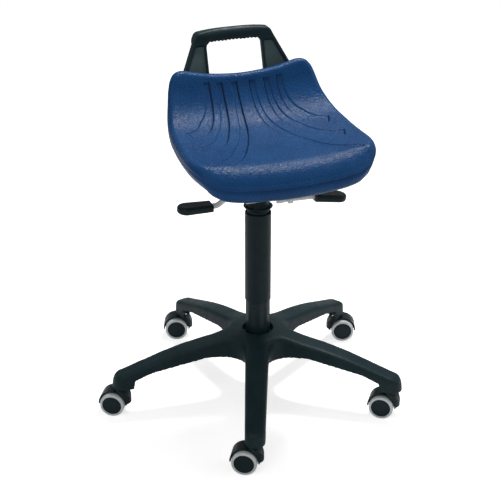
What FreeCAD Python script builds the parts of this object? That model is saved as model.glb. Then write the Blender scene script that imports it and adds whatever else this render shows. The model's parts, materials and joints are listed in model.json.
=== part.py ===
"""Perch stool: saddle-shaped foam seat with a carrying handle, tilt mechanism with two paddle levers,
gas-sprung column with a cover sleeve, and a five-arm base on twin-wheel casters.

Frame: millimetres, +Z up, origin on the floor under the column axis, front of the seat towards -Y.
"""
import FreeCAD, Part
import Sketcher
import os
from math import atan2, cos, degrees, radians, sin, sqrt

V = FreeCAD.Vector
X_AXIS, Y_AXIS, Z_AXIS = V(1, 0, 0), V(0, 1, 0), V(0, 0, 1)
doc = FreeCAD.newDocument("PerchStool")
sheet = doc.addObject("Spreadsheet::Sheet", "Sizes")

# Driving dimensions in millimetres and degrees
SIZES = {
    # five-arm base
    "arm_count": 5, "arm_reach": 290, "arm_yaw": -111.6, "arm_root_half": 24.5, "arm_root_at": 60,
    "arm_tip_half": 20, "web_radius": 30, "base_wall": 3.5, "rib_thickness": 3,
    "base_clearance": 60, "hub_top": 153, "hub_bottom": 93, "hub_opening_radius": 31.5,
    "hub_socket_wall": 2.6, "hub_spoke_width": 6,
    # column
    "tube_radius": 25, "tube_wall": 1.5, "tube_bottom": 86, "tube_top": 400, "tube_floor": 4,
    "cylinder_radius": 14, "cylinder_wall": 1.5, "cylinder_bottom": 116, "cylinder_guide": 15,
    "cone_start": 448, "cylinder_top": 505, "cone_drop": 1.1,
    "rod_radius": 5, "rod_bottom": 80, "piston_height": 12, "height_travel": 165,
    "bush_length": 80, "bush_lip": 2, "clip_radius": 9, "clip_thickness": 1.2,
    "bearing_radius": 13, "bearing_race": 1.5, "bearing_cage": 3,
    "pin_radius": 3, "pin_projection": 6,
    # cover
    "sleeve_radius": 26.5, "sleeve_wall": 1.2, "sleeve_bottom": 220, "sleeve_top": 415,
    "sleeve_web": 2.5, "sleeve_web_drop": 10.5,
    "collar_neck_radius": 22.5, "collar_flange_radius": 29.4, "collar_flange_at": 427,
    "collar_cone_radius": 23, "collar_top_radius": 18.5, "collar_top": 444,
    # casters
    "wheel_radius": 25, "wheel_core_radius": 20, "wheel_inner": 5, "wheel_outer": 24,
    "tread_inner": 6.5, "tread_outer": 23.2, "caster_trail": 18, "axle_radius": 3, "axle_cover": 2.8,
    "hood_radius": 29.5, "hood_thickness": 2.8, "hood_half_width": 16, "caster_web_half": 4.2,
    "caster_neck_radius": 17.5, "stem_radius": 5.5, "stem_length": 22, "stem_shoulder_radius": 9,
    # seat
    "seat_half_width": 184, "seat_side_radius": 950, "seat_widest_at": -125, "seat_low": 581,
    "seat_dish_at": -110, "seat_roll_at": -150, "seat_roll_radius": 52, "seat_dish_radius": 600,
    "seat_dish_angle": 11, "seat_lip_radius": 113, "seat_lip_angle": 66, "seat_lip_run": 36,
    "seat_rear_dip": 18, "seat_rear_corner": 121, "seat_side_rise_radius": 1250, "seat_underside": 535,
    "seat_nose_drop": 18,
    "channel_depth": 1.4, "board_thickness": 12, "board_half_width": 125, "board_front": -140,
    "board_rear": 50, "board_corner": 20,
    # mechanism
    "sheet_metal": 3, "plate_half_width": 78, "plate_front": -95, "plate_rear": 45,
    "carrier_half_width": 50, "carrier_front": -86, "carrier_rear": 45, "carrier_bottom": 452,
    "carrier_corner": 14, "carrier_wall_top": 515, "carrier_nose_top": 500, "carrier_nose_bottom": 484,
    "carrier_knee": -40,
    "tilt_y": 30, "tilt_z": 512, "tilt_pin_radius": 5, "tilt_forward": 8, "tilt_back": 3,
    "socket_radius": 18.5, "socket_bottom": 446, "socket_top": 502,
    "clamp_y": -45, "clamp_z": 508, "clamp_pin_radius": 4, "shoe_left": -39.8, "shoe_right": -28,
    "quadrant_left": -44, "quadrant_thickness": 4,
    # levers
    "lever_radius": 5.5, "lever_pin_radius": 2.5,
    "height_lever_y": -70, "height_pivot_x": 38, "height_pivot_z": 464,
    "tilt_lever_y": -45, "tilt_pivot_x": -34, "tilt_pivot_z": 477,
    "paddle_length": 68, "paddle_width": 37, "paddle_thickness": 15, "paddle_grip_depth": 34,
    # handle
    "handle_top": 751, "handle_crown": 5, "handle_top_half": 76, "handle_base_half": 115,
    "handle_shoulder": 669, "handle_waist": 648, "handle_lean": 17, "handle_stand_off": 13.5,
    "handle_thickness": 14, "grip_radius": 12.5, "grip_forward": 2.5, "handle_ear": 8,
    "handle_window_half": 57.5, "handle_window_top": 728, "handle_window_bottom": 655,
    "handle_curve_radius": 560, "handle_arm_inner": 82, "handle_web_bottom": 600, "handle_corner": 11,
    # screws and fits
    "screw_radius": 3.1, "screw_head_radius": 6, "screw_head_height": 4, "screw_length": 14,
    "running_fit": 0.06, "seat_fit": 0.3,
}


class Size:
    """A value from the sheet, or worked out from such values, with the expression that yields it."""

    def __init__(self, value, text):
        self.value = float(value)
        self.text = text

    def _join(self, other, sign, value, swap=False):
        other = as_size(other)
        pair = (other.text, self.text) if swap else (self.text, other.text)
        return Size(value, "(%s %s %s)" % (pair[0], sign, pair[1]))

    def __add__(self, other):
        return self._join(other, "+", self.value + float(other))

    def __sub__(self, other):
        return self._join(other, "-", self.value - float(other))

    def __mul__(self, other):
        return self._join(other, "*", self.value * float(other))

    def __truediv__(self, other):
        return self._join(other, "/", self.value / float(other))

    def __radd__(self, other):
        return self._join(other, "+", float(other) + self.value, True)

    def __rsub__(self, other):
        return self._join(other, "-", float(other) - self.value, True)

    def __rmul__(self, other):
        return self._join(other, "*", float(other) * self.value, True)

    def __neg__(self):
        return Size(-self.value, "(0 - %s)" % self.text)

    def __float__(self):
        return self.value


def as_size(value):
    return value if isinstance(value, Size) else Size(value, repr(float(value)))


class Sheet:
    """The driving dimensions by name."""


S = Sheet()
for row, (name, value) in enumerate(SIZES.items(), start=1):
    sheet.set("A%d" % row, name)
    sheet.set("B%d" % row, str(value))
    sheet.setAlias("B%d" % row, name)
doc.recompute()
for name in SIZES:
    setattr(S, name, Size(sheet.get(name), "Sizes.%s" % name))


def num(value):
    return float(value)


# Bound primitives and booleans

def bind(obj, **sizes):
    for prop, value in sizes.items():
        value = as_size(value)
        setattr(obj, prop, value.value)
        obj.setExpression(prop, value.text)
    return obj


def put(obj, x=0, y=0, z=0, axis=Z_AXIS):
    turn = FreeCAD.Rotation(Z_AXIS, axis)
    obj.Placement = FreeCAD.Placement(V(num(x), num(y), num(z)), turn)
    for key, value in (("x", x), ("y", y), ("z", z)):
        obj.setExpression("Placement.Base.%s" % key, as_size(value).text)
    return obj


def cylinder(radius, length, x=0, y=0, z=0, axis=Z_AXIS):
    return put(bind(doc.addObject("Part::Cylinder", "Cylinder"), Radius=radius, Height=length), x, y, z, axis)


def cone(low, high, length, x=0, y=0, z=0):
    part = bind(doc.addObject("Part::Cone", "Cone"), Radius1=low, Radius2=high, Height=length)
    return put(part, x, y, z)


def box(x0, x1, y0, y1, z0, z1):
    x0, x1, y0, y1, z0, z1 = [as_size(v) for v in (x0, x1, y0, y1, z0, z1)]
    part = bind(doc.addObject("Part::Box", "Box"), Length=x1 - x0, Width=y1 - y0, Height=z1 - z0)
    return put(part, x0, y0, z0)


def fuse(*parts):
    obj = doc.addObject("Part::MultiFuse", "Fuse")
    obj.Shapes = list(parts)
    return obj


def cut(base, *tools):
    obj = doc.addObject("Part::Cut", "Cut")
    obj.Base = base
    obj.Tool = tools[0] if len(tools) == 1 else fuse(*tools)
    return obj


def common(*parts):
    obj = doc.addObject("Part::MultiCommon", "Common")
    obj.Shapes = list(parts)
    return obj


def compound(*parts):
    obj = doc.addObject("Part::Compound", "Group")
    obj.Links = list(parts)
    return obj


def feature(shape, name="Shaped"):
    obj = doc.addObject("Part::Feature", name)
    obj.Shape = shape
    return obj


def plane_of(body, role):
    return [f for f in body.Origin.OriginFeatures if f.Role == role][0]


def turned(name, outline):
    """A PartDesign body revolved about Z from a closed outline of (radius, height) sizes."""
    body = doc.addObject("PartDesign::Body", name)
    sketch = body.newObject("Sketcher::SketchObject", name + "Profile")
    sketch.AttachmentSupport = [(plane_of(body, "XZ_Plane"), "")]
    sketch.MapMode = "FlatFace"
    points = [(as_size(r), as_size(z)) for r, z in outline]
    count = len(points)
    for i in range(count):
        (r0, z0), (r1, z1) = points[i], points[(i + 1) % count]
        sketch.addGeometry(Part.LineSegment(V(num(r0), num(z0), 0), V(num(r1), num(z1), 0)), False)
    for i in range(count):
        sketch.addConstraint(Sketcher.Constraint("Coincident", i, 2, (i + 1) % count, 1))
    for i, (r, z) in enumerate(points):
        for kind, size in (("DistanceX", r), ("DistanceY", z)):
            index = sketch.addConstraint(Sketcher.Constraint(kind, -1, 1, i, 1, num(size)))
            sketch.setExpression("Constraints[%d]" % index, size.text)
    revolution = body.newObject("PartDesign::Revolution", name + "Turned")
    revolution.Profile = sketch
    revolution.ReferenceAxis = (sketch, ["V_Axis"])
    revolution.Angle = 360
    body.Tip = revolution
    return body


def arc(a, b, c):
    return Part.Arc(V(*a), V(*b), V(*c)).toShape()


def line(a, b):
    return Part.LineSegment(V(*a), V(*b)).toShape()


NODES = {}


def node(name, obj):
    obj.Label = name
    NODES[name] = obj
    return obj


# Five-arm base: open underneath, one moulding with hub socket, ribs and caster bosses

def star_wire(inset, arm_end):
    """Plan outline of the arms, drawn in by inset, with each rounded tip centred at arm_end."""
    root = num(S.arm_root_half) - inset
    tip = num(S.arm_tip_half) - inset
    slope = (tip - root) / (num(S.arm_reach) - num(S.arm_root_at))
    offset = root - slope * num(S.arm_root_at)
    web = num(S.web_radius) + inset
    step = 360 / num(S.arm_count)
    half = radians(step / 2)
    norm = sqrt(1 + slope ** 2)
    centre = (web * norm + offset) / (sin(half) - slope * cos(half))
    cx, cy = centre * cos(half), centre * sin(half)
    foot_x = (cx + slope * (cy - offset)) / norm ** 2
    foot = V(foot_x, offset + slope * foot_x, 0)
    throat = V((centre - web) * cos(half), (centre - web) * sin(half), 0)
    tip_side = V(arm_end, offset + slope * arm_end, 0)
    tip_end = V(arm_end + tip, 0, 0)
    edges = []
    for i in range(int(num(S.arm_count))):
        def spun(p, mirror=1, extra=0):
            q = V(p.x, p.y * mirror, 0)
            return FreeCAD.Rotation(Z_AXIS, num(S.arm_yaw) + step * (i + extra)).multVec(q)
        edges.append(Part.LineSegment(spun(foot, -1), spun(tip_side, -1)).toShape())
        edges.append(Part.Arc(spun(tip_side, -1), spun(tip_end), spun(tip_side)).toShape())
        edges.append(Part.LineSegment(spun(tip_side), spun(foot)).toShape())
        edges.append(Part.Arc(spun(foot), spun(throat), spun(foot, -1, 1)).toShape())
    return Part.Wire(edges)


def arm_rise(drop, floor_line):
    """Half section of the star: the arm's back lowered by drop, over its arched underside or a flat floor."""
    end = num(S.arm_reach) + num(S.arm_tip_half) - drop
    base = num(S.base_clearance)
    top = num(S.hub_top) - drop
    edges = [line((0, 0, top), (50, 0, top)),
             line((50, 0, top), (100, 0, top - 12)),
             arc((100, 0, top - 12), (150, 0, top - 20.5), (200, 0, top - 32.5)),
             line((200, 0, top - 32.5), (end - 21, 0, top - 60.3)),
             arc((end - 21, 0, top - 60.3), (end - 6, 0, top - 67), (end, 0, top - 81))]
    if floor_line:
        edges += [line((end, 0, top - 81), (end, 0, base - 5)), line((end, 0, base - 5), (0, 0, base - 5)),
                  line((0, 0, base - 5), (0, 0, top))]
    else:
        low = num(S.hub_bottom)
        step = end - 41
        edges += [line((end, 0, top - 81), (end, 0, base)), line((end, 0, base), (step, 0, base)),
                  line((step, 0, base), (step - 2.5, 0, base + 18)),
                  line((step - 2.5, 0, base + 18), (231, 0, low - 2)),
                  line((231, 0, low - 2), (122, 0, low + 15.5)),
                  arc((122, 0, low + 15.5), (84, 0, low + 12.5), (40, 0, low)),
                  line((40, 0, low), (0, 0, low)), line((0, 0, low), (0, 0, top))]
    return Part.Face(Part.Wire(edges)).revolve(V(0, 0, 0), Z_AXIS, 360)


def star_solid():
    tall = num(S.hub_top) + 20
    shell = Part.Face(star_wire(0, num(S.arm_reach))).extrude(V(0, 0, tall)).common(arm_rise(0, False))
    wall = num(S.base_wall)
    hollow_end = num(S.arm_reach) - num(S.arm_tip_half) - 2 * wall
    hollow = Part.Face(star_wire(wall, hollow_end)).extrude(V(0, 0, tall)).common(arm_rise(wall, True))
    socket_out = num(S.tube_radius) + num(S.running_fit) + num(S.hub_socket_wall)
    opening = num(S.hub_opening_radius)
    low = num(S.hub_bottom)
    keep = [Part.makeCylinder(opening + 2 * wall, tall)]
    spokes = []
    for i in range(int(num(S.arm_count))):
        turn = num(S.arm_yaw) + i * 360 / num(S.arm_count)
        rib = Part.makeBox(num(S.arm_reach), num(S.rib_thickness), tall, V(0, -num(S.rib_thickness) / 2, 0))
        spoke = Part.makeBox(opening + wall - socket_out + 1, num(S.hub_spoke_width), 35,
                             V(socket_out - 1, -num(S.hub_spoke_width) / 2, low))
        for bar in (rib, spoke):
            bar.rotate(V(0, 0, 0), Z_AXIS, turn)
        keep.append(rib)
        spokes.append(spoke)
    star = shell.cut(hollow.cut(keep[0].multiFuse(keep[1:])))
    star = star.cut(Part.makeCylinder(opening, tall))
    socket = Part.makeCylinder(socket_out, num(S.hub_top) - 13 - low, V(0, 0, low))
    star = star.fuse([socket] + spokes)
    star = star.cut(Part.makeCylinder(num(S.tube_radius) + num(S.running_fit), tall))
    bore = num(S.stem_radius) + num(S.running_fit)
    depth = num(S.stem_length) + 2
    for turn in arm_angles():
        at = V(num(S.arm_reach) * cos(radians(turn)), num(S.arm_reach) * sin(radians(turn)), num(S.base_clearance))
        star = star.cut(Part.makeCylinder(bore, depth, at))
    return star.removeSplitter()


def arm_angles():
    return [num(S.arm_yaw) + i * 360 / num(S.arm_count) for i in range(int(num(S.arm_count)))]


node("base_star", feature(star_solid(), "BaseStar"))

# Column: stand tube with bush, gas spring and its bearing

tube_in = S.tube_radius - S.tube_wall
node("stand_tube", turned("StandTube", [
    (S.rod_radius + S.running_fit, S.tube_bottom), (S.tube_radius, S.tube_bottom), (S.tube_radius, S.tube_top),
    (tube_in, S.tube_top), (tube_in, S.tube_bottom + S.tube_floor),
    (S.rod_radius + S.running_fit, S.tube_bottom + S.tube_floor)]))

node("guide_bush", turned("GuideBush", [
    (S.cylinder_radius + S.running_fit, S.tube_top - S.bush_length), (tube_in - S.running_fit, S.tube_top - S.bush_length),
    (tube_in - S.running_fit, S.tube_top), (S.tube_radius, S.tube_top), (S.tube_radius - 1, S.tube_top + S.bush_lip),
    (S.cylinder_radius + S.running_fit, S.tube_top + S.bush_lip)]))

groove_radius = S.rod_radius - 0.8
groove_low = S.tube_bottom - S.clip_thickness - 0.4
groove_high = S.tube_bottom - 0.1
piston_low = S.cylinder_bottom + S.cylinder_guide + S.height_travel + 4
cylinder_in = S.cylinder_radius - S.cylinder_wall
node("piston_rod", turned("PistonRod", [
    (0, S.rod_bottom), (groove_radius, S.rod_bottom), (S.rod_radius, S.rod_bottom + 1), (S.rod_radius, groove_low),
    (groove_radius, groove_low), (groove_radius, groove_high), (S.rod_radius, groove_high),
    (S.rod_radius, piston_low), (cylinder_in - S.running_fit, piston_low),
    (cylinder_in - S.running_fit, piston_low + S.piston_height), (0, piston_low + S.piston_height)]))

node("retaining_clip", turned("RetainingClip", [
    (groove_radius + S.running_fit, groove_low + 0.15), (S.clip_radius, groove_low + 0.15),
    (S.clip_radius, groove_low + 0.15 + S.clip_thickness),
    (groove_radius + S.running_fit, groove_low + 0.15 + S.clip_thickness)]))


def ring(inner, outer, low, height):
    return cut(cylinder(outer, height, z=low), cylinder(inner, height + 2, z=low - 1))


race_bore = S.rod_radius + S.running_fit
race_low = S.tube_bottom + S.tube_floor + 0.1
cage_low = race_low + S.bearing_race + 0.1
node("thrust_bearing", compound(
    ring(race_bore, S.bearing_radius, race_low, S.bearing_race),
    ring(race_bore, S.bearing_radius - 1, cage_low, S.bearing_cage),
    ring(race_bore, S.bearing_radius, cage_low + S.bearing_cage + 0.1, S.bearing_race)))

pin_bore = S.pin_radius + S.running_fit
chamber_top = S.cone_start - 28
cone_top_radius = S.cylinder_radius - S.cone_drop
node("gas_cylinder", turned("GasCylinder", [
    (S.rod_radius + S.running_fit, S.cylinder_bottom), (S.cylinder_radius, S.cylinder_bottom),
    (S.cylinder_radius, S.cone_start), (cone_top_radius, S.cylinder_top), (pin_bore, S.cylinder_top),
    (pin_bore, chamber_top), (cylinder_in, chamber_top), (cylinder_in, S.cylinder_bottom + S.cylinder_guide),
    (S.rod_radius + S.running_fit, S.cylinder_bottom + S.cylinder_guide)]))

pin_low = chamber_top + 8
node("release_button", cylinder(S.pin_radius, S.cylinder_top + S.pin_projection - pin_low, z=pin_low))

# Cover sleeve that rides with the seat, and the flared collar above it

sleeve_in = S.sleeve_radius - S.sleeve_wall
web_top = S.sleeve_top - S.sleeve_web_drop + S.sleeve_web
web_low = S.sleeve_top - S.sleeve_web_drop
node("cover_sleeve", turned("CoverSleeve", [
    (sleeve_in, S.sleeve_bottom), (S.sleeve_radius - 0.5, S.sleeve_bottom), (S.sleeve_radius, S.sleeve_bottom + 1),
    (S.sleeve_radius, S.sleeve_top - 1.6), (S.sleeve_radius - 0.5, S.sleeve_top - 0.5),
    (S.sleeve_radius - 1.2, S.sleeve_top), (S.sleeve_radius - 2.2, S.sleeve_top - 0.6), (sleeve_in - 1.4, S.sleeve_top - 2),
    (sleeve_in - 1.4, web_top), (S.cylinder_radius + S.seat_fit, web_top), (S.cylinder_radius + S.seat_fit, web_low),
    (sleeve_in, web_low)]))

collar_bore = S.cylinder_radius + S.running_fit
node("sleeve_collar", turned("SleeveCollar", [
    (collar_bore, web_top), (S.collar_neck_radius, web_top), (S.collar_neck_radius, S.collar_flange_at - 7),
    (S.collar_flange_radius - 0.6, S.collar_flange_at - 0.6), (S.collar_flange_radius, S.collar_flange_at + 0.4),
    (S.collar_flange_radius - 1.2, S.collar_flange_at + 1.4), (S.collar_cone_radius, S.collar_flange_at - 1),
    (S.collar_top_radius + 1.5, S.collar_flange_at + 8), (S.collar_top_radius, S.collar_top),
    (collar_bore, S.collar_top)]))

# Mechanism: pressed carrier on the gas spring's cone, tilting top plate and its friction clamp

sheet_t = S.sheet_metal
half = S.carrier_half_width


def extruded_x(points, x0, x1):
    """A flat plate across X, from an outline of (y, z) sizes."""
    outline = [V(num(x0), num(y), num(z)) for y, z in points]
    face = Part.Face(Part.makePolygon(outline + outline[:1]))
    return feature(face.extrude(V(num(x1) - num(x0), 0, 0)), "PressedWall")


def prism_y(points, y0, y1):
    """A bar along Y, from an outline of (x, z) sizes."""
    outline = [V(num(x), num(y0), num(z)) for x, z in points]
    face = Part.Face(Part.makePolygon(outline + outline[:1]))
    return feature(face.extrude(V(0, num(y1) - num(y0), 0)), "FoldedEdge")


lever_pivots = ((S.height_pivot_x, S.height_lever_y, S.height_pivot_z),
                (S.tilt_pivot_x, S.tilt_lever_y, S.tilt_pivot_z))


def lever_lugs(x, y, gap, low, high):
    """Two upright lugs, one each side of a lever, that hold its pin."""
    return [box(x - 5, x + 5, y - gap - sheet_t, y - gap, low, high),
            box(x - 5, x + 5, y + gap, y + gap + sheet_t, low, high)]


def carrier():
    """Pressed pan: deep round the socket, its floor rising from the knee to a shallow nose."""
    ear = 11
    front, rear, low, knee = S.carrier_front, S.carrier_rear, S.carrier_bottom, S.carrier_knee
    bevel = S.carrier_corner
    side = [(front, S.carrier_nose_bottom), (knee, low), (rear - 10, low), (rear, low + bevel),
            (rear, S.tilt_z), (S.tilt_y + ear, S.tilt_z + ear), (S.tilt_y - ear, S.tilt_z + ear),
            (S.tilt_y - 2 * ear, S.carrier_wall_top), (front + 29, S.carrier_wall_top),
            (front, S.carrier_nose_top)]
    block = extruded_x(side, -half, half)
    inner = [(front + sheet_t, S.carrier_nose_bottom + sheet_t), (knee + 1, low + sheet_t),
             (rear + 1, low + sheet_t), (rear + 1, S.tilt_z + 20), (front + sheet_t, S.tilt_z + 20)]
    tray = cut(block, extruded_x(inner, -half + sheet_t, half - sheet_t))
    for sign in (-1, 1):
        edge = prism_y([(sign * (half + 1), low - 1), (sign * (half - bevel), low - 1),
                        (sign * (half + 1), low + bevel)], front - 1, rear + 1)
        gusset = prism_y([(sign * half, low + bevel + 1), (sign * half, low + bevel - sheet_t),
                          (sign * (half - bevel + sheet_t), low), (sign * (half - bevel - 4), low)],
                         front, rear)
        tray = cut(fuse(tray, common(gusset, block)), edge)
    socket = cylinder(S.socket_radius, S.socket_top - S.socket_bottom, z=S.socket_bottom)
    gap = S.lever_radius + S.seat_fit
    shoe_lug = box(S.shoe_right + 4, S.shoe_right + 7, S.clamp_y - 12, S.clamp_y + 12, low, S.carrier_wall_top)
    tilt_lugs = lever_lugs(S.tilt_pivot_x, S.tilt_lever_y, gap, low, S.tilt_pivot_z + 6)
    height_lugs = lever_lugs(S.height_pivot_x, S.height_lever_y, gap, S.height_pivot_z - 6,
                             S.carrier_nose_bottom - 2)
    inside = common(fuse(shoe_lug, *tilt_lugs), block)
    pin_hole = S.lever_pin_radius + S.running_fit
    clamp_hole = S.clamp_pin_radius + S.running_fit
    tools = [cone(S.cylinder_radius + S.running_fit, cone_top_radius + S.running_fit,
                  S.cylinder_top - S.cone_start, z=S.cone_start),
             cylinder(S.cylinder_radius + S.running_fit, 10, z=S.cone_start - 10),
             cylinder(S.tilt_pin_radius + S.running_fit, half * 2 + 2, x=-half - 1, y=S.tilt_y, z=S.tilt_z,
                      axis=X_AXIS),
             cylinder(clamp_hole, half + S.shoe_right + 12, x=-half - 1, y=S.clamp_y, z=S.clamp_z, axis=X_AXIS),
             box(S.height_pivot_x - 28, half + 1, S.height_lever_y - gap, S.height_lever_y + gap,
                 S.height_pivot_z - 12, S.carrier_nose_bottom - 2),
             box(-half - 1, -half + 6, S.tilt_lever_y - gap, S.tilt_lever_y + gap, S.tilt_pivot_z - 8,
                 S.tilt_pivot_z + 11)]
    for x, y, z in lever_pivots:
        tools.append(cylinder(pin_hole, 20, x=x, y=y - 10, z=z, axis=Y_AXIS))
    return cut(fuse(tray, socket, inside, *height_lugs), *tools)


node("carrier", carrier())

pin_end = half + sheet_t + 0.8
node("tilt_pivot_pin", fuse(
    cylinder(S.tilt_pin_radius, pin_end * 2 + 8, x=-pin_end - 4, y=S.tilt_y, z=S.tilt_z, axis=X_AXIS),
    cylinder(S.tilt_pin_radius + 3.5, 4, x=pin_end, y=S.tilt_y, z=S.tilt_z, axis=X_AXIS),
    cylinder(S.tilt_pin_radius + 3.5, 4, x=-pin_end - 4, y=S.tilt_y, z=S.tilt_z, axis=X_AXIS)))

node("clamp_pin", fuse(
    cylinder(S.clamp_pin_radius, half + S.shoe_right + 11, x=-half - 2, y=S.clamp_y, z=S.clamp_z, axis=X_AXIS),
    cylinder(S.clamp_pin_radius + 3, 3, x=-half - 3.1, y=S.clamp_y, z=S.clamp_z, axis=X_AXIS)))

pin_half = S.lever_radius + sheet_t + 1.5
node("lever_pins", compound(*[
    cylinder(S.lever_pin_radius, pin_half * 2, x=x, y=y - pin_half, z=z, axis=Y_AXIS)
    for x, y, z in lever_pivots]))


def clamp_shoe():
    body = box(S.shoe_left, S.shoe_right, S.clamp_y - 11, S.clamp_y + 11, S.tilt_pivot_z + 9, S.carrier_wall_top)
    bore = cylinder(S.clamp_pin_radius + S.running_fit, 20, x=S.shoe_left - 2, y=S.clamp_y, z=S.clamp_z, axis=X_AXIS)
    slot = box(S.tilt_pivot_x - 3.3, S.tilt_pivot_x + 3.3, S.clamp_y - 5.5, S.clamp_y + 5.5,
               S.tilt_pivot_z + 8, S.tilt_pivot_z + 19)
    return cut(body, bore, slot)


node("clamp_shoe", clamp_shoe())


def tilt_slot(radial_gap):
    """Arc slot in the quadrant, about the tilt pivot, for the clamp pin over the whole tilt range."""
    dy, dz = num(S.clamp_y) - num(S.tilt_y), num(S.clamp_z) - num(S.tilt_z)
    reach = sqrt(dy * dy + dz * dz)
    rest = degrees(atan2(dz, dy))
    spread = degrees((num(S.clamp_pin_radius) + 1) / reach)
    low, high = rest - num(S.tilt_forward) - spread, rest + num(S.tilt_back) + spread
    wide = num(S.clamp_pin_radius) + radial_gap

    def at(radius, angle):
        return (num(S.quadrant_left) - 1, num(S.tilt_y) + radius * cos(radians(angle)),
                num(S.tilt_z) + radius * sin(radians(angle)))

    middle = (low + high) / 2
    edges = [arc(at(reach - wide, low), at(reach - wide, middle), at(reach - wide, high)),
             line(at(reach - wide, high), at(reach + wide, high)),
             arc(at(reach + wide, high), at(reach + wide, middle), at(reach + wide, low)),
             line(at(reach + wide, low), at(reach - wide, low))]
    return feature(Part.Face(Part.Wire(edges)).extrude(V(num(S.quadrant_thickness) + 2, 0, 0)), "ArcSlot")


plate_top = S.seat_underside
plate_low = plate_top - sheet_t
screw_x = S.plate_half_width - 16
plate_screws = [(sign * screw_x, y) for sign in (-1, 1) for y in (S.plate_front + 15, S.board_rear - 12)]
ear_x = (S.handle_arm_inner + S.handle_base_half) / 2
ear_screws = [(sign * ear_x, as_size(0)) for sign in (-1, 1)]


def seat_top_plate():
    flange_in = half + 0.4
    parts = [box(-S.plate_half_width, S.plate_half_width, S.plate_front, S.plate_rear, plate_low, plate_top),
             box(S.quadrant_left, S.quadrant_left + S.quadrant_thickness - 0.2, S.clamp_y - 19, S.clamp_y + 17,
                 S.clamp_z - 10, plate_low + 1)]
    for sign in (-1, 1):
        x0 = flange_in if sign > 0 else -flange_in - sheet_t
        parts.append(box(x0, x0 + sheet_t, S.tilt_y - 15, S.tilt_y + 15, S.tilt_z, plate_low + 1))
        parts.append(cylinder(15, sheet_t, x=x0, y=S.tilt_y, z=S.tilt_z, axis=X_AXIS))
    tools = [cylinder(S.tilt_pin_radius + S.running_fit, half * 2 + 20, x=-half - 10, y=S.tilt_y, z=S.tilt_z, axis=X_AXIS),
             tilt_slot(0.3)]
    tools += [cylinder(S.screw_radius + 0.2, sheet_t + 2, x=x, y=y, z=plate_low - 1) for x, y in plate_screws]
    return cut(fuse(*parts), *tools)


node("seat_top_plate", seat_top_plate())

# Levers: bent rods with flattened-oval paddles

def bent_rod(route, bend, radius, y):
    """Round rod along straight runs in an XZ plane, joined by tangent arcs."""
    points = [V(num(px), num(y), num(pz)) for px, pz in route]
    edges = []
    start = points[0]
    for before, corner, after in zip(points, points[1:], points[2:]):
        u = (before - corner).normalize()
        w = (after - corner).normalize()
        half_turn = u.getAngle(w) / 2
        reach = bend / sin(half_turn) * cos(half_turn)
        first, last = corner + u * reach, corner + w * reach
        middle = corner + (u + w).normalize() * (bend / sin(half_turn) - bend)
        edges.append(Part.LineSegment(start, first).toShape())
        edges.append(Part.Arc(first, middle, last).toShape())
        start = last
    edges.append(Part.LineSegment(start, points[-1]).toShape())
    path = Part.Wire(edges)
    circle = Part.Wire(Part.makeCircle(radius, points[0], points[1] - points[0]))
    return path.makePipeShell([circle], True, False)


def paddle(at_x, at_z, y, slope, side):
    """Flattened oval grip with a blind bore for the rod; side is +1 or -1 along X."""
    length, wide, thick = num(S.paddle_length), num(S.paddle_width), num(S.paddle_thickness)
    inner = 0.86 * wide / 2
    edges = [line((0, -inner, 0), (length - wide / 2, -wide / 2, 0)),
             arc((length - wide / 2, -wide / 2, 0), (length, 0, 0), (length - wide / 2, wide / 2, 0)),
             line((length - wide / 2, wide / 2, 0), (0, inner, 0)), line((0, inner, 0), (0, -inner, 0))]
    slab = Part.Face(Part.Wire(edges)).extrude(V(0, 0, thick))
    rims = [e for e in slab.Edges if e.BoundBox.ZLength < 0.01 and e.BoundBox.XMax > 1]
    grip = slab.makeFillet(thick * 0.36, rims)
    grip.translate(V(0, 0, -thick / 2))
    bore = Part.makeCylinder(num(S.lever_radius + S.running_fit), num(S.paddle_grip_depth), V(0, 0, 0), X_AXIS)
    grip = grip.cut(bore)
    obj = feature(grip, "Paddle")
    turn = FreeCAD.Rotation(Y_AXIS, slope) if side > 0 else FreeCAD.Rotation(Z_AXIS, 180) * FreeCAD.Rotation(Y_AXIS, slope)
    obj.Placement = FreeCAD.Placement(V(num(at_x), num(y), num(at_z)), turn)
    return obj


def lever_bar(route, y, extras, pivot):
    rod = feature(bent_rod(route, 16, num(S.lever_radius), y), "BentRod")
    bore = cylinder(S.lever_pin_radius + S.running_fit, 30, x=pivot[0], y=y - 15, z=pivot[1], axis=Y_AXIS)
    return cut(fuse(rod, *extras), bore)


height_slope = 8.5
height_grip = (90, num(S.height_pivot_z) - 2.4)
tilt_slope = -2
tilt_grip = (-113, num(S.tilt_pivot_z) - 16)


def along(grip, slope, side, distance):
    return (grip[0] + side * distance * cos(radians(slope)), grip[1] - distance * sin(radians(slope)))


height_route = [(num(S.height_pivot_x) - 14, num(S.height_pivot_z) + 0.6), along(height_grip, height_slope, 1, -6),
                along(height_grip, height_slope, 1, num(S.paddle_grip_depth) - 1)]
tongue_low = S.cylinder_top + S.pin_projection + 0.3
tongue = [box(S.height_pivot_x - 26, S.height_pivot_x - 12, S.height_lever_y - 3, S.height_lever_y + 3,
              S.height_pivot_z - 5, tongue_low + 3),
          box(-8, S.height_pivot_x - 12, S.height_lever_y - 3, 8, tongue_low, tongue_low + 3.5)]
node("height_lever", lever_bar(height_route, S.height_lever_y, tongue, (S.height_pivot_x, S.height_pivot_z)))
node("height_paddle", paddle(height_grip[0], height_grip[1], S.height_lever_y, height_slope, 1))

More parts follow.
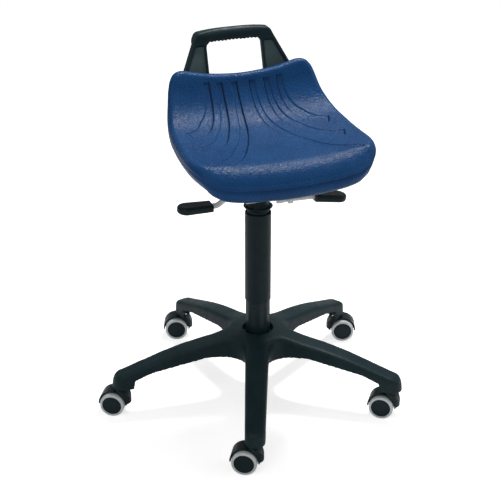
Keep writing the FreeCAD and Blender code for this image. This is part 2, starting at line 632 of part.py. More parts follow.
tilt_route = [(num(S.tilt_pivot_x) + 8, num(S.tilt_pivot_z)), (-78, num(S.tilt_pivot_z)),
              along(tilt_grip, tilt_slope, -1, -12), along(tilt_grip, tilt_slope, -1, num(S.paddle_grip_depth) - 1)]
finger = [box(S.tilt_pivot_x - 2.2, S.tilt_pivot_x + 2.2, S.clamp_y - 5, S.clamp_y + 5, S.tilt_pivot_z, S.tilt_pivot_z + 16)]
node("tilt_lever", lever_bar(tilt_route, S.tilt_lever_y, finger, (S.tilt_pivot_x, S.tilt_pivot_z)))
node("tilt_paddle", paddle(tilt_grip[0], tilt_grip[1], S.tilt_lever_y, tilt_slope, -1))

# Seat pad: lofted saddle with a rolled front, dished middle, raised rear lip and six moulded channels

def saddle_height(y):
    """Height of the seat's centre line at y, from the rolled front edge to the end of the shallow dish."""
    low, roll, dish = num(S.seat_low), num(S.seat_roll_radius), num(S.seat_dish_radius)
    if y < num(S.seat_roll_at):
        return low - roll + sqrt(roll ** 2 - (num(S.seat_roll_at) - y) ** 2)
    if y < num(S.seat_dish_at):
        return low
    return low + dish - sqrt(dish ** 2 - (y - num(S.seat_dish_at)) ** 2)


def lip_point(slope, run=0):
    """Point (y, z) of the centre line on the rear lip: at this slope in degrees, then straight on by run."""
    dish, lip = num(S.seat_dish_radius), num(S.seat_lip_radius)
    turn, slope = radians(num(S.seat_dish_angle)), radians(slope)
    y = num(S.seat_dish_at) + dish * sin(turn) + lip * (sin(slope) - sin(turn)) + run * cos(slope)
    z = num(S.seat_low) + dish * (1 - cos(turn)) + lip * (cos(turn) - cos(slope)) + run * sin(slope)
    return y, z


def saddle_half_width(y):
    radius = num(S.seat_side_radius)
    return num(S.seat_half_width) - radius + sqrt(radius ** 2 - (y - num(S.seat_widest_at)) ** 2)


def saddle_section(y, z, tilt, wide, thick, rim, draw):
    """Closed cross-section: hollow top arc, round rims, sides that draw in and a flat underside."""
    lean = radians(tilt)

    def at(x, n):
        return (x, y - n * sin(lean), z + n * cos(lean))

    rise = wide ** 2 / (2 * num(S.seat_side_rise_radius))
    shoulder = rim * (1 - sqrt(0.5))
    inner = wide - rim
    return Part.Wire([
        arc(at(-inner, rise), at(0, 0), at(inner, rise)),
        arc(at(inner, rise), at(wide - shoulder, rise - shoulder), at(wide, rise - rim)),
        line(at(wide, rise - rim), at(wide - draw, -thick)),
        line(at(wide - draw, -thick), at(draw - wide, -thick)),
        line(at(draw - wide, -thick), at(-wide, rise - rim)),
        arc(at(-wide, rise - rim), at(shoulder - wide, rise - shoulder), at(-inner, rise))])


def saddle_stations():
    """Sections from the front rim to the rear rim: y, z, tilt, half width, thickness, rim, draw-in."""
    under, wide = num(S.seat_underside), num(S.seat_half_width)
    front = num(S.seat_roll_at) - num(S.seat_roll_radius) * 0.94
    stations = []
    for back, narrower, hang, rim in ((0, 104, 0.6, 4), (2, 78, 0.9, 7), (6, 55, 1, 10), (14, 33, 0.97, 12),
                                      (30, 12, 0.75, 13), (51, 2, 0.2, 14)):
        y = front + back
        thick = saddle_height(y) - under + hang * num(S.seat_nose_drop)
        stations.append((y, saddle_height(y), 0, wide - narrower, thick, rim, rim * 1.3))
    for y in (-105, -50):
        stations.append((y, saddle_height(y), 0, saddle_half_width(y), saddle_height(y) - under, 14, 22))
    y, z = lip_point(num(S.seat_dish_angle))
    stations.append((y, z, 0, saddle_half_width(y), z - under, 14, 22))
    for slope, tilt, narrower, thick, draw in ((29, 14, 0, 69, 24), (44, 30, 3, 47, 20), (57, 48, 8, 26, 12)):
        y, z = lip_point(slope)
        stations.append((y, z, tilt, saddle_half_width(y) - narrower, thick, 13, draw))
    slope, run = num(S.seat_lip_angle), num(S.seat_lip_run)
    for share, narrower, thick, rim in ((0.05, 33, 14, 8), (0.39, 37, 11, 5), (0.67, 43, 10, 4.5), (0.89, 53, 8, 3.5),
                                        (1, 65, 6, 2.5)):
        y, z = lip_point(slope, share * run)
        stations.append((y, z, slope, wide - narrower, thick, rim, thick * 0.4))
    return stations


def rim_hollow():
    """Wide cylinder along Y that lowers the rear rim in the middle and leaves its corners standing."""
    dip, corner = num(S.seat_rear_dip), num(S.seat_rear_corner)
    radius = (corner ** 2 + dip ** 2) / (2 * dip)
    rim_y, rim_z = lip_point(num(S.seat_lip_angle), num(S.seat_lip_run))
    return Part.makeCylinder(radius, 160, V(0, rim_y - 80, rim_z - dip + radius), Y_AXIS)


# Plan outline of each channel on the right-hand side, from its rear end round to its blind front end:
# the edge nearest the centre line, then the edge nearest the side
CHANNELS = (
    (((13, 86), (24, -5), (55.4, -85)), ((55.4, -85), (90, -138), (141.6, -169.6)),
     ((153.9, -149), (110, -122), (76, -76)), ((76, -76), (38, 0), (24.5, 86))),
    (((43.8, 86), (48.7, 35), (67, -15)), ((67, -15), (97, -64), (144, -87)),
     ((151, -66), (112, -46), (86, -8)), ((86, -8), (62, 40), (55.5, 86))),
    (((70.4, 86), (75, 48), (88, 18)), ((88, 18), (108, -8), (138, -24)),
     ((145, -4), (122, 10), (107, 30)), ((107, 30), (88, 56), (82, 86))))


def channel_prism(arcs, side):
    edges = []
    last = None
    for a, b, c in arcs:
        a, b, c = [(side * x, y, 500) for x, y in (a, b, c)]
        if last and last != a:
            edges.append(line(last, a))
        edges.append(arc(a, b, c))
        last = c
    first = (side * arcs[0][0][0], arcs[0][0][1], 500)
    edges.append(line(last, first))
    return Part.Face(Part.Wire(edges)).extrude(V(0, 0, 250))


def board_outline(grow, low, thick):
    wide = num(S.board_half_width) + grow
    front, rear = num(S.board_front) - grow, num(S.board_rear) + grow
    block = Part.makeBox(2 * wide, rear - front, thick, V(-wide, front, low))
    upright = [e for e in block.Edges if abs(e.BoundBox.ZLength - thick) < 0.001]
    return block.makeFillet(num(S.board_corner) + grow, upright)


def seat_pad():
    pad = Part.makeLoft([saddle_section(*station) for station in saddle_stations()], True, False)
    depth = num(S.channel_depth)
    sunk = pad.copy()
    sunk.translate(V(0, 0.6 * depth, -depth))
    for arcs in CHANNELS:
        for side in (-1, 1):
            pad = pad.cut(channel_prism(arcs, side).cut(sunk))
    fit = num(S.seat_fit)
    low = num(S.seat_underside)
    level = Part.makeBox(600, 300, 30, V(-300, num(S.seat_roll_at) + 4, low - 30))
    recess = board_outline(fit, low - 5, num(S.board_thickness) + 5 + fit)
    return pad.cut(recess).cut(level).cut(rim_hollow())


node("seat_pad", feature(seat_pad(), "SeatPad"))

board_shape = feature(board_outline(0, num(S.seat_underside), num(S.board_thickness)), "Board")
hole_depth = S.screw_length - sheet_t + 1
board_holes = [cylinder(S.screw_radius + 0.05, hole_depth, x=x, y=y, z=S.seat_underside)
               for x, y in plate_screws + ear_screws]
node("seat_board", cut(board_shape, *board_holes))

# Carrying handle: one moulding whose lower arms run under the seat to the board

def handle_outline():
    """Front view of the handle as a wire in the XZ plane: two arms, a web, tapering legs and a crowned top."""
    wide, base, arm = num(S.handle_top_half), num(S.handle_base_half), num(S.handle_arm_inner)
    corner_z = num(S.handle_top - S.handle_crown)
    web, low = num(S.handle_web_bottom), num(S.seat_underside) - 30
    side = [V(arm, 0, web), V(arm, 0, low), V(base, 0, low), V(base, 0, num(S.handle_shoulder)), V(wide, 0, corner_z)]
    other = [V(-p.x, 0, p.z) for p in side]
    edges = [Part.LineSegment(p, q).toShape() for leg in (side, other) for p, q in zip(leg, leg[1:])]
    crown = arc(tuple(other[-1]), (0, 0, num(S.handle_top) + 0.4), tuple(side[-1]))
    return Part.Wire(Part.__sortEdges__(edges + [crown, Part.LineSegment(other[0], side[0]).toShape()]))


def handle_section():
    """Side view: ears under the board, a curved waist, a leaning leg and the round grip bar on top."""
    under, top, ear = num(S.seat_underside), num(S.handle_top), num(S.handle_ear)
    lean = radians(num(S.handle_lean))
    face_y = handle_face_y()
    up = V(0, sin(lean), cos(lean))
    back = V(0, cos(lean), -sin(lean))
    waist = V(0, face_y, num(S.handle_waist))
    radius, forward, thick = num(S.grip_radius), num(S.grip_forward), num(S.handle_thickness)
    bar_z = top - radius
    bar_depth = radius - forward
    climb = (bar_z - waist.z + bar_depth * sin(lean)) / cos(lean)
    bar = waist + up * climb + back * bar_depth
    front_entry = bar - back * bar_depth - up * sqrt(radius ** 2 - bar_depth ** 2)
    behind = thick - bar_depth
    rear_entry = bar + back * behind - up * sqrt(radius ** 2 - behind ** 2)
    rear_waist = waist + back * thick
    corners = [V(0, -10, under), V(0, face_y - 46, under)]
    edges = [line(tuple(corners[0]), tuple(corners[1])),
             arc(tuple(corners[1]), (0, face_y - 10, under + 44), tuple(waist)),
             line(tuple(waist), tuple(front_entry)),
             arc(tuple(front_entry), (0, bar.y, top), tuple(rear_entry)),
             line(tuple(rear_entry), tuple(rear_waist)),
             arc(tuple(rear_waist), (0, face_y + 3, under + 36), (0, face_y - 38, under - ear)),
             line((0, face_y - 38, under - ear), (0, -10, under - ear)),
             line((0, -10, under - ear), tuple(corners[0]))]
    return Part.Face(Part.Wire(edges))


def handle_face_y():
    """Where the handle's front face stands at its waist, just behind the seat's rear rim."""
    return lip_point(num(S.seat_lip_angle), num(S.seat_lip_run))[0] + num(S.handle_stand_off)


def handle():
    slab = Part.Face(handle_outline()).extrude(V(0, 300, 0))
    slab.translate(V(0, -60, 0))
    corner_z = num(S.handle_top - S.handle_crown)
    corners = [e for e in slab.Edges if e.BoundBox.YLength > 299 and abs(e.BoundBox.ZMin - corner_z) < 0.5]
    slab = slab.makeFillet(num(S.handle_corner), corners)
    window = Part.makeBox(2 * num(S.handle_window_half), 300,
                          num(S.handle_window_top - S.handle_window_bottom),
                          V(-num(S.handle_window_half), -60, num(S.handle_window_bottom)))
    across = [e for e in window.Edges if e.BoundBox.YLength > 299]
    window = window.makeFillet(num(S.handle_corner), across)
    strap = handle_section()
    centre = V(0, handle_face_y() + 19 - num(S.handle_curve_radius), 0)
    strap.rotate(centre, Z_AXIS, -20)
    curved = strap.revolve(centre, Z_AXIS, 40)
    body = slab.cut(window).common(curved)
    holes = [Part.makeCylinder(num(S.screw_radius) + 0.2, 40, V(num(x), num(y), num(S.seat_underside) - 25))
             for x, y in ear_screws]
    return body.cut(holes[0].fuse(holes[1]))


node("handle", feature(handle(), "Handle"))


def screw(x, y, seat_z):
    shank = cylinder(S.screw_radius, S.screw_length, x=x, y=y, z=seat_z)
    head = cylinder(S.screw_head_radius, S.screw_head_height, x=x, y=y, z=seat_z - S.screw_head_height)
    drive = cylinder(2.5, 2.5, x=x, y=y, z=seat_z - S.screw_head_height - 0.5)
    return cut(fuse(shank, head), drive)


node("seat_screws", compound(*([screw(x, y, plate_low) for x, y in plate_screws]
                               + [screw(x, y, S.seat_underside - S.handle_ear) for x, y in ear_screws])))

# Casters: one set of pieces in a local frame with the stem on Z and the wheels trailing to -X

def caster_housing():
    trail, axle = num(S.caster_trail), num(S.wheel_radius)
    hood, web = num(S.hood_radius), num(S.caster_web_half)
    wide, neck = num(S.hood_half_width), num(S.caster_neck_radius)
    inner = hood - num(S.hood_thickness)
    top = num(S.base_clearance) - 0.5
    centre = V(-trail, 0, axle)
    drum = Part.makeCylinder(hood, 2 * wide, centre + V(0, -wide, 0), Y_AXIS)
    drum = drum.common(Part.makeBox(200, 200, 100, V(-100, -100, axle - 1.5)))
    boss = Part.makeCylinder(neck, top - axle, V(0, 0, axle))
    boss = boss.common(Part.makeCylinder(hood + 6, 80, centre + V(2, -40, 0), Y_AXIS))
    hub = Part.makeCylinder(8, 2 * web, centre + V(0, -web, 0), Y_AXIS)
    body = drum.fuse([boss, hub])
    for low in (web, -wide - 12):
        body = body.cut(Part.makeCylinder(inner, wide + 12 - web, centre + V(0, low, 0), Y_AXIS))
    stem = Part.makeCylinder(num(S.stem_radius + S.running_fit), 60, V(0, 0, axle + 11))
    bore = Part.makeCylinder(num(S.axle_radius + S.running_fit), 40, centre + V(0, -20, 0), Y_AXIS)
    return body.cut(stem.fuse(bore))


def caster_stem():
    low = num(S.wheel_radius) + 11.5
    base = num(S.base_clearance)
    top = base + num(S.stem_length)
    radius = num(S.stem_radius)
    groove = radius - 1
    outline = [(0, low), (radius, low), (radius, top - 7), (groove, top - 7), (groove, top - 3.4),
               (radius, top - 3.4), (radius, top - 1), (radius - 1, top), (0, top)]
    points = [V(r, 0, z) for r, z in outline]
    pin = Part.Face(Part.makePolygon(points + points[:1])).revolve(V(0, 0, 0), Z_AXIS, 360)
    return pin.fuse(Part.makeCylinder(num(S.stem_shoulder_radius), 0.4, V(0, 0, base - 0.45)))


def wheel_profile(outline):
    """Piece of the wheel on the +Y side, from an outline of (radius, distance from the web)."""
    trail, axle = num(S.caster_trail), num(S.wheel_radius)
    points = [V(-trail, y, axle + r) for r, y in outline]
    face = Part.Face(Part.makePolygon(points + points[:1]))
    return face.revolve(V(-trail, 0, axle), Y_AXIS, 360)


def wheel_core():
    bore, rim = num(S.axle_radius + S.running_fit), num(S.wheel_core_radius) - 0.05
    inner, outer, cover = num(S.wheel_inner), num(S.wheel_outer), num(S.axle_cover)
    return wheel_profile([(bore, inner), (7.5, inner), (7.5, outer - 5), (rim - 3, outer - 6), (rim - 3, inner + 1),
                          (rim, inner + 1), (rim, outer - 1.6), (rim - 1.4, outer - 0.5), (12, outer),
                          (0, outer), (0, outer - cover), (bore, outer - cover)])


def wheel_tread():
    inner, outer = num(S.tread_inner), num(S.tread_outer)
    rim, edge = num(S.wheel_core_radius), num(S.wheel_radius)
    ring_face = wheel_profile([(rim, inner), (edge, inner), (edge, outer), (rim, outer)])
    rounds = [e for e in ring_face.Edges if len(e.Vertexes) == 1 and e.Curve.TypeId == "Part::GeomCircle"
              and e.Curve.Radius > edge - 0.1]
    return ring_face.makeFillet(2.2, rounds)


def caster_axle():
    long = num(S.wheel_outer - S.axle_cover - S.seat_fit)
    return Part.makeCylinder(num(S.axle_radius), 2 * long, V(-num(S.caster_trail), -long, num(S.wheel_radius)), Y_AXIS)


# The casters stand as in the photograph: four trail one way, the right rear one the other way
CASTERS = (("front", 0, 150), ("right", 1, 144), ("rear_right", 2, -20), ("rear_left", 3, 160), ("left", 4, 150))
core, tread = wheel_core(), wheel_tread()
CASTER_PIECES = {
    "housing": caster_housing(), "stem": caster_stem(), "axle": caster_axle(),
    "wheel_left": core, "tread_left": tread,
    "wheel_right": core.mirror(V(0, 0, 0), Y_AXIS), "tread_right": tread.mirror(V(0, 0, 0), Y_AXIS),
}
for place, index, trailing in CASTERS:
    turn = radians(arm_angles()[index])
    at = V(num(S.arm_reach) * cos(turn), num(S.arm_reach) * sin(turn), 0)
    for piece, shape in CASTER_PIECES.items():
        obj = feature(shape.copy(), "Caster")
        obj.Placement = FreeCAD.Placement(at, FreeCAD.Rotation(Z_AXIS, trailing - 180))
        node("caster_%s_%s" % (place, piece), obj)

stem_top = S.base_clearance + S.stem_length
rings = []
for turn in arm_angles():
    x, y = num(S.arm_reach) * cos(radians(turn)), num(S.arm_reach) * sin(radians(turn))
    low = stem_top - 6.7
    outer = cylinder(S.stem_radius + S.running_fit / 2, 3, x=x, y=y, z=low)
    rings.append(cut(outer, cylinder(S.stem_radius - 0.9, 5, x=x, y=y, z=low - 1)))
node("stem_grip_rings", compound(*rings))

# Build, check and write
doc.recompute()
for obj in doc.Objects:
    if "Invalid" in obj.State or "Error" in obj.State:
        raise RuntimeError("%s did not build: %s" % (obj.Label, obj.State))
os.makedirs("parts", exist_ok=True)
for name, obj in NODES.items():
    shape = obj.Shape
    if shape.isNull() or not shape.isValid():
        raise RuntimeError("%s has no valid shape" % name)
    shape.exportStep("parts/%s.step" % name)
    print("%-28s solids %d  volume %.0f mm3" % (name, len(shape.Solids), shape.Volume))
print("nodes", len(NODES))
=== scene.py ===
"""Looks of the perch stool: blue integral-skin foam saddle, black mouldings, pale levers and grey treads."""

import json
import math

import bmesh
import bpy
import numpy as np
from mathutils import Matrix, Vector


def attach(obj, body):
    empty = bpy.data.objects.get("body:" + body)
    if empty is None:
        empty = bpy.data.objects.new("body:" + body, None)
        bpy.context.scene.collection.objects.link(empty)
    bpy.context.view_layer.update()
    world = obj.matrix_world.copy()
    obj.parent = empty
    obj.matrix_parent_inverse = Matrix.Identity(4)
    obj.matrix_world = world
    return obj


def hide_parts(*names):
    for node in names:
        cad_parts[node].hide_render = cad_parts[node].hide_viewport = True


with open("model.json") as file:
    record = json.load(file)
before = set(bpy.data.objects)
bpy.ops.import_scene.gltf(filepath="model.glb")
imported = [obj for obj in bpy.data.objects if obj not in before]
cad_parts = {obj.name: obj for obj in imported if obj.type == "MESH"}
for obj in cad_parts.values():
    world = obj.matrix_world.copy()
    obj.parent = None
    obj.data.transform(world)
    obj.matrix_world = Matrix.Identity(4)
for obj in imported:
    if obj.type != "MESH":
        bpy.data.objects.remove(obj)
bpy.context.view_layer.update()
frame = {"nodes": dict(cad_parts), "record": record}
nodes = frame["nodes"]
MM = 0.001

# Camera, solved from the photograph: place, line of sight and lens

CAMERA_AT = Vector((-0.825, -2.178, 1.444))
CAMERA_LINE = Vector((0.3137, 0.8457, -0.4318))
camera_data = bpy.data.cameras.new("Camera")
camera_data.lens = 92.14
camera_data.sensor_width = 36
camera = bpy.data.objects.new("Camera", camera_data)
camera.location = CAMERA_AT
camera.rotation_euler = CAMERA_LINE.to_track_quat("-Z", "Y").to_euler()
bpy.context.collection.objects.link(camera)
bpy.context.scene.camera = camera
bpy.context.scene.view_settings.view_transform = "Standard"


# Materials

class Shader:
    """A principled material whose colour, roughness and bump come from nodes in object space."""

    def __init__(self, name, metallic=0.0, specular=0.5):
        self.material = bpy.data.materials.new(name)
        self.material.use_nodes = True
        self.nodes = self.material.node_tree.nodes
        self.links = self.material.node_tree.links
        self.bsdf = self.nodes["Principled BSDF"]
        self.bsdf.inputs["Metallic"].default_value = metallic
        self.bsdf.inputs["Specular IOR Level"].default_value = specular
        self.space = self.nodes.new("ShaderNodeTexCoord").outputs["Object"]
        self.height = None

    def noise(self, size, detail=3.0, stretch=None):
        """Noise with features of about this size in metres."""
        node = self.nodes.new("ShaderNodeTexNoise")
        node.inputs["Scale"].default_value = 1 / size
        node.inputs["Detail"].default_value = detail
        self.links.new(self.stretched(stretch), node.inputs["Vector"])
        return node.outputs["Fac"]

    def cells(self, size):
        """Distance to the nearest point of a scatter about this far apart in metres."""
        node = self.nodes.new("ShaderNodeTexVoronoi")
        node.inputs["Scale"].default_value = 1 / size
        self.links.new(self.space, node.inputs["Vector"])
        return node.outputs["Distance"]

    def stretched(self, factors):
        if factors is None:
            return self.space
        node = self.nodes.new("ShaderNodeMapping")
        node.inputs["Scale"].default_value = factors
        self.links.new(self.space, node.inputs["Vector"])
        return node.outputs["Vector"]

    def spread(self, value, low, high, start=0.3, end=0.7):
        node = self.nodes.new("ShaderNodeMapRange")
        self.links.new(value, node.inputs["Value"])
        for key, number in (("From Min", start), ("From Max", end), ("To Min", low), ("To Max", high)):
            node.inputs[key].default_value = number
        return node.outputs["Result"]

    def colours(self, value, first, second, start=0.3, end=0.7):
        ramp = self.nodes.new("ShaderNodeValToRGB")
        ramp.color_ramp.elements[0].position = start
        ramp.color_ramp.elements[1].position = end
        ramp.color_ramp.elements[0].color = (*first, 1)
        ramp.color_ramp.elements[1].color = (*second, 1)
        self.links.new(value, ramp.inputs["Fac"])
        self.links.new(ramp.outputs["Color"], self.bsdf.inputs["Base Color"])

    def paint_shade(self, attribute, share):
        """Painted shade in deep creases: the base colour falls by this share where the mesh attribute is 1.
        """
        mark = self.nodes.new("ShaderNodeAttribute")
        mark.attribute_name = attribute
        mix = self.nodes.new("ShaderNodeMix")
        mix.data_type = "RGBA"
        mix.blend_type = "MULTIPLY"
        base = self.bsdf.inputs["Base Color"].links[0].from_socket
        self.links.new(base, mix.inputs["A"])
        mix.inputs["B"].default_value = (1 - share, 1 - share, 1 - share, 1)
        self.links.new(mark.outputs["Fac"], mix.inputs["Factor"])
        self.links.new(mix.outputs["Result"], self.bsdf.inputs["Base Color"])

    def roughness(self, value):
        self.links.new(value, self.bsdf.inputs["Roughness"])

    def bump(self, value, depth):
        node = self.nodes.new("ShaderNodeBump")
        node.inputs["Distance"].default_value = depth
        node.inputs["Strength"].default_value = 1.0
        self.links.new(value, node.inputs["Height"])
        if self.height is not None:
            self.links.new(self.height, node.inputs["Normal"])
        self.height = node.outputs["Normal"]
        self.links.new(self.height, self.bsdf.inputs["Normal"])


def foam():
    """Integral-skin foam: deep blue with a pebble grain that glitters where it catches the light."""
    shader = Shader("blue_foam_skin", specular=0.12)
    shader.colours(shader.noise(0.05), (0.006, 0.046, 0.150), (0.008, 0.060, 0.180))
    # Painted shade: the base colour is darkened in the creases round the channels, where shade falls.
    shader.paint_shade("crease", 0.85)
    shader.roughness(shader.spread(shader.noise(0.0026, 1.0), 0.19, 0.38))
    shader.bump(shader.noise(0.0034, 2.0), 0.0008)
    shader.bump(shader.cells(0.0022), 0.0004)
    return shader.material


def moulded(name, dark, light, rough, grain=0.0009, depth=0.00006):
    """Black moulded plastic with a fine spark-eroded grain and faint flow marks."""
    shader = Shader(name, specular=0.16)
    shader.colours(shader.noise(0.04), dark, light)
    shader.roughness(shader.spread(shader.noise(0.012), rough - 0.05, rough + 0.07))
    shader.bump(shader.cells(grain), depth)
    return shader.material


def coated(name, dark, light, rough, specular=0.5):
    """Powder coat over steel with a slight orange peel."""
    shader = Shader(name, specular=specular)
    shader.colours(shader.noise(0.03), dark, light)
    shader.roughness(shader.spread(shader.noise(0.006), rough - 0.04, rough + 0.06))
    shader.bump(shader.noise(0.0016, 1.0), 0.00004)
    return shader.material


def steel(name, dark, light, rough, along=(1, 1, 12)):
    """Plated or drawn steel with fine lines along the piece."""
    shader = Shader(name, metallic=1.0)
    shader.colours(shader.noise(0.02), dark, light)
    shader.roughness(shader.spread(shader.noise(0.003, 2.0, along), rough - 0.06, rough + 0.1))
    shader.bump(shader.noise(0.0009, 1.0, along), 0.00002)
    return shader.material


def rubber(name, dark, light):
    shader = Shader(name, specular=0.35)
    shader.colours(shader.noise(0.01), dark, light)
    shader.roughness(shader.spread(shader.noise(0.004), 0.55, 0.72))
    shader.bump(shader.noise(0.0012), 0.00005)
    return shader.material


def wood():
    shader = Shader("beech_ply", specular=0.3)
    shader.colours(shader.noise(0.02, 4.0, (1, 9, 22)), (0.42, 0.27, 0.14), (0.60, 0.43, 0.26))
    shader.roughness(shader.spread(shader.noise(0.01), 0.55, 0.75))
    shader.bump(shader.noise(0.004, 3.0, (1, 8, 20)), 0.0001)
    return shader.material


FOAM = foam()
NYLON = moulded("black_nylon_grain", (0.006, 0.019, 0.024), (0.009, 0.026, 0.032), 0.44)
PLASTIC = moulded("black_plastic_satin", (0.005, 0.014, 0.018), (0.008, 0.020, 0.025), 0.34)
LEG_FACE = moulded("handle_leg_face", (0.050, 0.080, 0.085), (0.070, 0.105, 0.110), 0.50)
PAINT = coated("black_paint", (0.006, 0.016, 0.020), (0.010, 0.023, 0.028), 0.30, 0.22)
PALE = coated("pale_powder_coat", (0.56, 0.60, 0.60), (0.66, 0.69, 0.69), 0.38)
ZINC = steel("zinc_plate", (0.55, 0.57, 0.58), (0.68, 0.70, 0.71), 0.32)
BRIGHT = steel("ground_steel", (0.62, 0.63, 0.64), (0.72, 0.73, 0.74), 0.2)
TREAD = rubber("grey_tread", (0.55, 0.58, 0.58), (0.66, 0.69, 0.69))
WOOD = wood()

SLOT_MATERIAL = {
    "black_nylon": NYLON, "black_plastic": PLASTIC, "black_steel": PAINT, "grey_steel": PALE,
    "zinc_steel": ZINC, "bright_steel": BRIGHT, "blue_foam": FOAM, "grey_tread": TREAD, "plywood": WOOD,
}


def dress(obj, *materials):
    obj.data.materials.clear()
    for material in materials:
        obj.data.materials.append(material)


for part in frame["record"]["subparts"]:
    dress(nodes[part["node"]], SLOT_MATERIAL[part["material_slot"]])


# Mesh helpers

def mesh_object(name, points, faces, material):
    data = bpy.data.meshes.new(name)
    data.from_pydata([tuple(p) for p in points], [], faces)
    shape = bmesh.new()
    shape.from_mesh(data)
    bmesh.ops.recalc_face_normals(shape, faces=shape.faces)
    shape.to_mesh(data)
    shape.free()
    for face in data.polygons:
        face.use_smooth = True
    obj = bpy.data.objects.new(name, data)
    bpy.context.collection.objects.link(obj)
    dress(obj, material)
    return obj


def points_of(obj):
    flat = np.empty(len(obj.data.vertices) * 3, np.float64)
    obj.data.vertices.foreach_get("co", flat)
    return flat.reshape(-1, 3)


def normals_of(obj):
    flat = np.empty(len(obj.data.vertices) * 3, np.float64)
    obj.data.vertex_normals.foreach_get("vector", flat)
    return flat.reshape(-1, 3)


def set_points(obj, points):
    obj.data.vertices.foreach_set("co", points.ravel())
    obj.data.update()


def softened(name, node, voxel, rounds, material):
    """A copy of a CAD node with its moulded edges rounded off, standing for that node."""
    obj = nodes[node].copy()
    obj.data = nodes[node].data.copy()
    obj.name = name
    for key in list(obj.keys()):
        del obj[key]
    bpy.context.collection.objects.link(obj)
    obj.parent = None
    for kind, settings in (("REMESH", {"mode": "VOXEL", "voxel_size": voxel, "use_smooth_shade": True}),
                           ("SMOOTH", {"factor": 0.5, "iterations": rounds})):
        modifier = obj.modifiers.new(kind.title(), kind)
        for key, value in settings.items():
            setattr(modifier, key, value)
    graph = bpy.context.evaluated_depsgraph_get()
    baked = bpy.data.meshes.new_from_object(obj.evaluated_get(graph))
    obj.modifiers.clear()
    obj.data = baked
    dress(obj, material)
    return obj


def step(value, start, end):
    t = np.clip((value - start) / (end - start), 0, 1)
    return t * t * (3 - 2 * t)


# Seat cushion, in millimetres: a centre line, a plan outline and a rolled rim

SEAT_LOW = 581
FLAT_END = -110
DISH_RADIUS, DISH_TURN = 600, math.radians(11)
LIP_RADIUS, LIP_TURN = 113, math.radians(66)
DISH_END = FLAT_END + DISH_RADIUS * DISH_TURN
LIP_END = DISH_END + LIP_RADIUS * (LIP_TURN - DISH_TURN)
REAR_LINE = 20
SIDE_RISE_RADIUS = 1250
RIM_RADIUS, ROLL_RADIUS = 12, 50
UNDERSIDE = 536
CHANNEL_DEPTH = 1.7
AROUND, INWARD = 1200, 150
CREASE_DEPTH, CREASE_HALF = 1.6, 1.9
CHANNEL_FLANK = 0.9
TOP_CENTRE, UNDER_CENTRE = -40, -50
ROLL_STEPS, UNDER_STEPS = 12, 15
SIDE_TURN, FRONT_TURN_LESS = 75, 8
# Along y: how far the side wall leans to the rear in degrees, and how deep the cushion is
WALL_LEAN = ((0, 38, 62, 78, 88), (0, 14, 30, 48, 62))
CUSHION_DEPTH = ((-110, 0, 38, 62, 78, 88), (46, 56, 69, 46, 26, 14))
# Below the rolled edge: drop, and how far out the wall stands at the sides and at the front
WALL_DEPTH = 36.4
FRONT_REACH = 0.92
WALL_PROFILE = (
    (2.0, 0.8, 2.2), (4.5, 0.7, 2.4), (7, -2.2, -1.6), (9, -2.2, -1.6), (12, -1.2, 0.2),
    (20, -4.2, -1.0), (29, -11, -3.0), (34, -17, -7), (WALL_DEPTH, -24, -15))
# Along y: height of the underside, which rises behind the board up the back of the rear lip
UNDER_HEIGHT = ((-300, 50, 57, 69, 81, 93, 101, 108),
                (UNDERSIDE, UNDERSIDE, 539, 549, 568, 604, 650, 662))


def spine(run):
    """Place (y, z) and slope of the seat's centre line, at a distance run along it."""
    slope = np.clip((run - FLAT_END) / DISH_RADIUS, 0, DISH_TURN)
    slope = np.where(run > DISH_END, np.minimum(DISH_TURN + (run - DISH_END) / LIP_RADIUS, LIP_TURN), slope)
    dish = np.minimum(slope, DISH_TURN)
    lip = np.maximum(slope, DISH_TURN)
    beyond = np.maximum(run - LIP_END, 0)
    y = np.where(run < FLAT_END, run, FLAT_END + DISH_RADIUS * np.sin(dish))
    y = y + LIP_RADIUS * (np.sin(lip) - math.sin(DISH_TURN)) + beyond * math.cos(LIP_TURN)
    z = SEAT_LOW + DISH_RADIUS * (1 - np.cos(dish)) + LIP_RADIUS * (math.cos(DISH_TURN) - np.cos(lip))
    return y, z + beyond * math.sin(LIP_TURN), slope


def run_at(y):
    runs = np.linspace(-260, LIP_END + 40, 3001)
    return np.interp(y, spine(runs)[0], runs)


def surface(x, run):
    """Point on the top surface, its normal and the direction along the spine."""
    y, z, slope = spine(run)
    rise = x * x / (2 * SIDE_RISE_RADIUS)
    zero = np.zeros_like(x)
    normal = np.stack([zero, -np.sin(slope), np.cos(slope)], -1)
    along = np.stack([zero, np.cos(slope), np.sin(slope)], -1)
    point = np.stack([x, y, z], -1) + rise[..., None] * normal
    return point, normal, along


